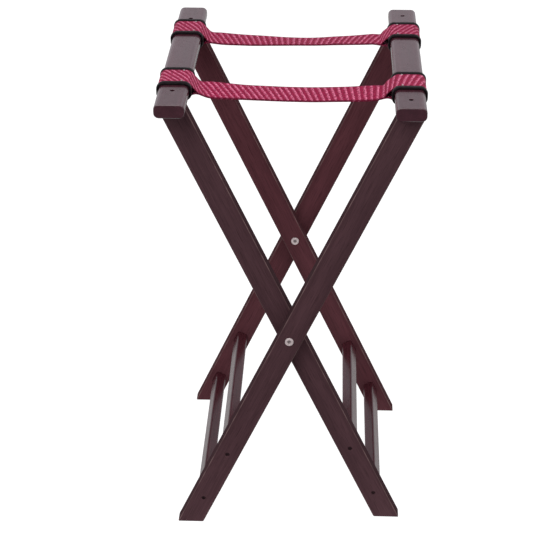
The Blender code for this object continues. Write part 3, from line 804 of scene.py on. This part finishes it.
class RACK_OT_straps(bpy.types.Operator):
    """Loop two webbing straps round the rails"""
    bl_idname = "rack.straps"
    bl_label = "Make the Straps"

    def execute(self, context):
        cloth = context.scene.rack_webbing
        finishes = {end: webbing(f"{end}_webbing", cloth, *STRAP_LINES[end]) for end in ENDS}
        lines = {side: even_steps(strap_line(cloth, side), STRAP_STEPS) for side in SIDES}
        for end in ENDS:
            for side in SIDES:
                self.half_strap(cloth, lines[side], side, end, finishes[end])
        return {"FINISHED"}

    def half_strap(self, cloth, spots, side, end, finish):
        """One side's layer of webbing from the middle, round the rail and back, cut in two."""
        way = SIDES[side]
        hanging = self.strip(cloth, spots, side, end)
        only(hanging)
        bpy.ops.object.duplicate()
        middle = bpy.context.object
        seam = (way * STRAP_SEAM, 0, 0)
        cut_away(hanging, seam, (way, 0, 0), clear_inner=True)
        cut_away(middle, seam, (way, 0, 0), clear_inner=False)
        cut_away(middle, (0, 0, 0), (way, 0, 0), clear_inner=True)
        name_piece(hanging, f"{side}_webbing_{end}", finish)
        name_piece(middle, f"{side}_webbing_middle_{end}", finish)
        smooth(hanging, 40)
        smooth(middle, 40)
        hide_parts(f"{side}_strap_loop_{end}", f"{side}_strap_hang_{end}")
        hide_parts(f"{side}_strap_middle_{end}")
        fold_over(hanging)
        fold_over(middle)

    def strip(self, cloth, spots, side, end):
        """A layer of webbing laid along its middle line, with metres of cloth as its UV map."""
        start_clean()
        bpy.ops.mesh.primitive_grid_add(
            x_subdivisions=STRAP_STEPS, y_subdivisions=STRAP_ROWS, size=1
        )
        strip = bpy.context.object
        way = SIDES[side]
        length = spots[-1][1]
        weave = strip.data.uv_layers[0]
        weave.name = "Weave"
        for loop in strip.data.loops:
            corner = strip.data.vertices[loop.vertex_index].co
            step = round((corner.x + 0.5) * STRAP_STEPS)
            distance = step / STRAP_STEPS * length - STRAP_SLACK
            weave.data[loop.index].uv = (way * distance, corner.y * STRAP_WIDTH)
        places = {s: node_middle(f"{s}_strap_loop_{end}").y for s in SIDES}
        middle_y = sum(places.values()) / 2
        slant = (places["outer"] - places["inner"]) / 2
        for corner in strip.data.vertices:
            spot, _ = spots[round((corner.co.x + 0.5) * STRAP_STEPS)]
            across = corner.co.y * (STRAP_WIDTH - STRAP_TRIM)
            share = min(1.0, max(-1.0, way * spot.x / SEWN_X))
            free = 1 - ease((spot.x - 0.02) / (SEWN_X - 0.025))
            ripple = noise.noise(Vector((way * spot.x * 22, across * 9, places["inner"] * 31)))
            rise, tilt = hang_of_strap(end, way * spot.x)
            lift = free * ripple * RIPPLE + cloth.twist * (rise + tilt * across / STRAP_WIDTH)
            corner.co = (way * spot.x, middle_y + slant * share + across, spot.y + lift)
        outward(strip)
        apply_modifier(
            strip, "SOLIDIFY", thickness=cloth.thickness, offset=0.0, use_even_offset=True
        )
        outward(strip)
        round_edges(strip, width=0.0004, segments=2, sharper_than=60)
        return strip


def fold_over(piece):
    """Bakes the piece's transform into its mesh."""
    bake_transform(piece)


def cut_away(piece, point, normal, clear_inner):
    """Cuts the piece at a plane and closes the cut."""
    only(piece)
    bpy.ops.object.mode_set(mode="EDIT")
    bpy.ops.mesh.select_all(action="SELECT")
    bpy.ops.mesh.bisect(
        plane_co=point, plane_no=normal, use_fill=True, clear_inner=clear_inner,
        clear_outer=not clear_inner, threshold=0.000001,
    )
    bpy.ops.object.mode_set(mode="OBJECT")


class RACK_OT_sleeves(bpy.types.Operator):
    """Put a soft sleeve round each rail under each strap"""
    bl_idname = "rack.sleeves"
    bl_label = "Make the Sleeves"

    def execute(self, context):
        soft = context.scene.rack_sleeves
        finish = sleeve_finish("black_sleeve_soft", soft)
        for side in SIDES:
            for end in ENDS:
                self.sleeve(soft, side, end, finish)
        return {"FINISHED"}

    def wall(self, soft):
        """The section of a sleeve's wall: (distance along the rail, gap from the wood), all
        the way round, with a puffed rim on each side of the strap."""
        end = SLEEVE_WIDTH / 2
        lip = STRAP_WIDTH / 2 - 0.0002
        inside = 0.0003
        skin = inside + soft.skin
        rim_middle, rim_half = (end + lip) / 2, (end - lip) / 2
        puff = (soft.rim - skin) * 0.5
        half = [(end - 0.0012, inside), (end - 0.0002, inside + 0.0006)]
        for degrees in steps_between(-20, 200, 8):
            turn = math.radians(degrees)
            gap = soft.rim - puff + puff * math.sin(turn)
            half.append((rim_middle + rim_half * math.cos(turn), gap))
        half += [(lip + 0.0002, skin + 0.0003), (lip - 0.0012, skin)]
        left = [(-y, gap) for y, gap in half]
        return left + half[::-1]

    def sleeve(self, soft, side, end, finish):
        way = SIDES[side]
        section = self.wall(soft)
        seat = node_middle(f"{side}_sleeve_{end}")
        loops = []
        for y, gap in section:
            circles = [(corner, RAIL_ROUNDING + gap) for corner in rail_corners()]
            loops.append([(point, y) for point in belt(circles)])
        start_clean()
        bpy.ops.mesh.primitive_torus_add(
            major_segments=len(loops[0]), minor_segments=len(section),
            major_radius=1, minor_radius=0.2,
        )
        tube = bpy.context.object
        for corner in tube.data.vertices:
            ring, spot = divmod(corner.index, len(section))
            point, y = loops[spot][ring]
            place = Vector((point.x * 70, point.y * 70, y * 120 + way * 3 + seat.y * 9))
            puff = noise.noise(place)
            y += 0.0006 * puff * past_strap(y)
            height = point.y + 0.00035 * puff * past_strap(y)
            corner.co = (way * (RAIL_MIDDLE.x - point.x), seat.y + y, RAIL_MIDDLE.z + height)
        outward(tube)
        smooth(tube, 60)
        name_piece(tube, f"{side}_soft_sleeve_{end}", finish)
        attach(tube, f"{side}_frame")
        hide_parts(f"{side}_sleeve_{end}")


def past_strap(y):
    """0 under the strap and 1 on a sleeve's rims, from the distance along the rail."""
    return ease((abs(y) - STRAP_WIDTH / 2) / 0.004)


class RACK_OT_hardware(bpy.types.Operator):
    """Make the bolts, nuts, screws and tacks"""
    bl_idname = "rack.hardware"
    bl_label = "Make the Hardware"

    def execute(self, context):
        parts = context.scene.rack_hardware
        patterns = self.pivots(parts) + self.screws_and_tacks(parts)
        for pattern in patterns:
            bpy.data.objects.remove(pattern)
        return {"FINISHED"}

    def pivots(self, parts):
        """A bolt, a nut and a washer at each end of the rack."""
        zinc = metal("bright_zinc", parts.zinc, 0.34, bare=0.30, socket=parts.socket / 2)
        washers = nylon("nylon_washer", parts.nylon)
        bolt, nut = self.pivot_head(parts, "bolt"), self.pivot_head(parts, "nut")
        for end, outwards in (("front", -1), ("rear", 1)):
            paint(frame["nodes"][f"pivot_washer_{end}"], washers)
            for kind, pattern, way in (("bolt", bolt, outwards), ("nut", nut, -outwards)):
                node = f"pivot_{kind}_{end}"
                self.place_copy(pattern, f"zinc_{kind}_{end}", node, (0, way, 0), "zinc", zinc)
        return [bolt, nut]

    def screws_and_tacks(self, parts):
        black = metal("black_oxide", parts.screw, 0.6)
        # Painted shade: the rail screws, sunk below the wood, get a near-black copy of the screw
        # colour for the shade of their holes.
        deep = metal("black_oxide_painted_shade", [part * 0.06 for part in parts.screw], 0.8)
        steel = metal("tack_steel", parts.tack, 0.35, bare=0.7)
        screw, tack = self.wood_screw(), self.tack()
        for node in sorted(frame["nodes"]):
            if "_rail_screw_" in node:
                way, turn = (0, 0, 1), 0.4
                # Rail screws take the near-black copy: painted shade of their holes.
                self.place_copy(screw, f"black_{node}", node, way, "black_screw", deep, turn)
            elif "_rung_screw_" in node:
                way = (0, -1 if node.endswith("front") else 1, 0)
                turn = 0.9 if node.startswith("outer") else 0.3
                self.place_copy(screw, f"black_{node}", node, way, "black_screw", black, turn)
            elif "_tack_" in node:
                self.place_copy(tack, f"steel_{node}", node, (0, 0, 1), "tack_steel", steel)
        return [screw, tack]

    def place_copy(self, pattern, name, node, way, slot, finish, turn=0.0):
        """A copy of a pattern in place of a frame node, with its top face looking along way."""
        only(pattern)
        bpy.ops.object.duplicate()
        piece = bpy.context.object
        piece.rotation_mode = "QUATERNION"
        aim = Vector(way).to_track_quat("Z", "Y")
        piece.rotation_quaternion = aim @ Matrix.Rotation(turn, 3, "Z").to_quaternion()
        piece.location = outer_face(node, way)
        settle(piece)
        name_piece(piece, name, finish)
        bodies = frame["record"]["behaviour"]["bodies"]
        body = next(body for body, nodes in bodies.items() if node in nodes)
        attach(piece, body)
        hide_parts(node)

    def turned_blank(self, radius, head, shank, length, segments=48):
        """A round head with its top at the origin, drawn down to a shank."""
        start_clean()
        bpy.ops.mesh.primitive_cylinder_add(
            vertices=segments, radius=radius, depth=head, location=(0, 0, -head / 2)
        )
        blank = bpy.context.object
        settle(blank)
        pick_faces(blank, lambda face: face.normal.z < -0.9)
        bpy.ops.mesh.inset(thickness=radius - shank)
        bpy.ops.mesh.extrude_region_move(TRANSFORM_OT_translate={"value": (0, 0, head - length)})
        bpy.ops.object.mode_set(mode="OBJECT")
        return blank

    def recess(self, blank, cutters):
        """Cuts a driving recess into the head."""
        for cutter in cutters:
            apply_modifier(blank, "BOOLEAN", operation="DIFFERENCE", solver="EXACT", object=cutter)
            bpy.data.objects.remove(cutter)

    def pivot_head(self, parts, kind):
        """A round head with a hexagon socket, on the bolt's shank or the nut's barrel."""
        size = node_size(f"pivot_{kind}_front")
        shank = 0.0026 if kind == "bolt" else 0.0040
        blank = self.turned_blank(size.x / 2, head=0.0024, shank=shank, length=size.y)
        start_clean()
        corner = parts.socket / 2 / math.cos(math.radians(30))
        bpy.ops.mesh.primitive_cylinder_add(vertices=6, radius=corner, depth=2 * SOCKET_DEPTH)
        self.recess(blank, [bpy.context.object])
        outward(blank)
        round_edges(blank, width=0.00035, segments=3, sharper_than=40)
        smooth(blank, 30)
        return blank

    def wood_screw(self):
        """A flat round head with a cross recess, on a plain shank."""
        size = node_size("outer_rail_screw_front")
        radius = size.x / 2
        blank = self.turned_blank(radius, head=0.0018, shank=0.0017, length=size.z, segments=32)
        cutters = []
        for turn in (0, math.pi / 2):
            start_clean()
            bpy.ops.mesh.primitive_cube_add(size=1, rotation=(0, 0, turn))
            cutter = bpy.context.object
            cutter.scale = CROSS_ARM
            settle(cutter)
            pick_faces(cutter, lambda face: face.normal.z < -0.9)
            bpy.ops.transform.resize(value=(CROSS_TAPER, CROSS_TAPER, 1))
            bpy.ops.object.mode_set(mode="OBJECT")
            cutters.append(cutter)
        self.recess(blank, cutters)
        outward(blank)
        round_edges(blank, width=0.00018, segments=2, sharper_than=50)
        smooth(blank, 35)
        return blank

    def tack(self):
        """A domed head on a thin shank, with the top of the dome at the origin."""
        size = node_size("outer_tack_front_near")
        radius = size.x / 2
        blank = self.turned_blank(radius, head=0.0009, shank=0.0006, length=size.z, segments=24)
        pick_faces(blank, lambda face: face.normal.z > 0.9)
        bpy.ops.mesh.inset(thickness=size.x * 0.12)
        bpy.ops.mesh.inset(thickness=size.x * 0.16)
        bpy.ops.object.mode_set(mode="OBJECT")
        for corner in blank.data.vertices:
            if corner.co.z > -0.0001:
                reach = corner.co.xy.length / radius
                corner.co.z = -TACK_DOME * reach * reach
        outward(blank)
        smooth(blank, 50)
        return blank


class RACK_OT_stage(bpy.types.Operator):
    """Set the pale floor, the soft studio light and the camera"""
    bl_idname = "rack.stage"
    bl_label = "Set the Stage"

    def execute(self, context):
        setting = context.scene.rack_stage
        self.floor(setting)
        self.studio(setting)
        self.lights(setting)
        self.camera()
        context.scene.view_settings.view_transform = "Standard"
        return {"FINISHED"}

    def floor(self, setting):
        start_clean()
        bpy.ops.mesh.primitive_plane_add(size=40, location=(0, 6, -0.0004))
        floor = bpy.context.object
        settle(floor)
        finish = Finish("floor")
        _, y, _ = finish.split(finish.place())
        seen = finish.add("LightPath").outputs["Is Camera Ray"]
        bounced = finish.range(y, *GLOW_START, 0.0, setting.glow * setting.bounce)
        glow = finish.math("MAXIMUM", finish.math("MULTIPLY", seen, setting.glow), bounced)
        finish.join(glow, finish.shader.inputs["Emission Strength"])
        finish.set(Base_Color=(*colour(setting.floor), 1), Roughness=0.9, Specular_IOR_Level=0.1)
        finish.set(Emission_Color=(1, 1, 1, 1))
        name_piece(floor, "floor", finish.material)

    def studio(self, setting):
        """Bright walls low down, a dimmer ceiling."""
        world = bpy.data.worlds.new("studio")
        bpy.context.scene.world = world
        world.use_nodes = True
        tree = world.node_tree
        back = tree.nodes["Background"]
        spot = tree.nodes.new("ShaderNodeTexCoord")
        parts = tree.nodes.new("ShaderNodeSeparateXYZ")
        wall = tree.nodes.new("ShaderNodeMapRange")
        wall.interpolation_type = "SMOOTHSTEP"
        tree.links.new(spot.outputs["Generated"], parts.inputs[0])
        tree.links.new(parts.outputs["Z"], wall.inputs["Value"])
        low, high = (math.sin(math.radians(turn)) for turn in CEILING_START)
        set_range(wall, low, high, setting.horizon, setting.sky)
        tree.links.new(wall.outputs[0], back.inputs["Strength"])
        back.inputs["Color"].default_value = (*colour(setting.air), 1)

    def lights(self, setting):
        """Two large soft lamps overhead, aimed at the middle of the rack."""
        for name, (place, share) in LAMPS.items():
            data = bpy.data.lights.new(name, "AREA")
            data.shape = "SQUARE"
            data.size = LAMP_SIZE
            data.energy = setting.key * share
            lamp = bpy.data.objects.new(name, data)
            bpy.context.collection.objects.link(lamp)
            lamp.location = place
            aim = Vector(LAMP_AIM) - Vector(place)
            lamp.rotation_euler = aim.to_track_quat("-Z", "Y").to_euler()

    def camera(self):
        data = bpy.data.cameras.new("camera")
        data.lens = CAMERA_LENS
        data.sensor_width = 36
        data.clip_end = 100
        camera = bpy.data.objects.new("camera", data)
        bpy.context.collection.objects.link(camera)
        heading, tilt, roll = (math.radians(turn) for turn in CAMERA_TURNS)
        turn = Matrix.Rotation(heading, 3, "Z") @ Matrix.Rotation(math.pi / 2 - tilt, 3, "X")
        camera.rotation_euler = (turn @ Matrix.Rotation(roll, 3, "Z")).to_euler()
        camera.location = CAMERA_PLACE
        bpy.context.scene.camera = camera


class RACK_PT_panel(bpy.types.Panel):
    """Luggage rack finishes and pieces"""
    bl_idname = "RACK_PT_panel"
    bl_label = "Luggage Rack"
    bl_space_type = "VIEW_3D"
    bl_region_type = "UI"
    bl_category = "Luggage Rack"

    def draw(self, context):
        for name, (settings, operator) in GROUPS.items():
            box = self.layout.box()
            for key in settings.__annotations__:
                box.prop(getattr(context.scene, name), key)
            box.operator(operator.bl_idname)


GROUPS = {
    "rack_wood": (WoodSettings, RACK_OT_wood),
    "rack_webbing": (WebbingSettings, RACK_OT_straps),
    "rack_sleeves": (SleeveSettings, RACK_OT_sleeves),
    "rack_hardware": (HardwareSettings, RACK_OT_hardware),
    "rack_stage": (StageSettings, RACK_OT_stage),
}
CLASSES = [kind for group in GROUPS.values() for kind in group] + [RACK_PT_panel]


def register():
    for kind in CLASSES:
        bpy.utils.register_class(kind)
    for name, (settings, _) in GROUPS.items():
        setattr(bpy.types.Scene, name, bpy.props.PointerProperty(type=settings))


def unregister():
    for name in GROUPS:
        delattr(bpy.types.Scene, name)
    for kind in reversed(CLASSES):
        bpy.utils.unregister_class(kind)


def main():
    register()
    bpy.ops.rack.wood()
    bpy.ops.rack.straps()
    bpy.ops.rack.sleeves()
    bpy.ops.rack.hardware()
    bpy.ops.rack.stage()


if __name__ == "__main__":
    main()
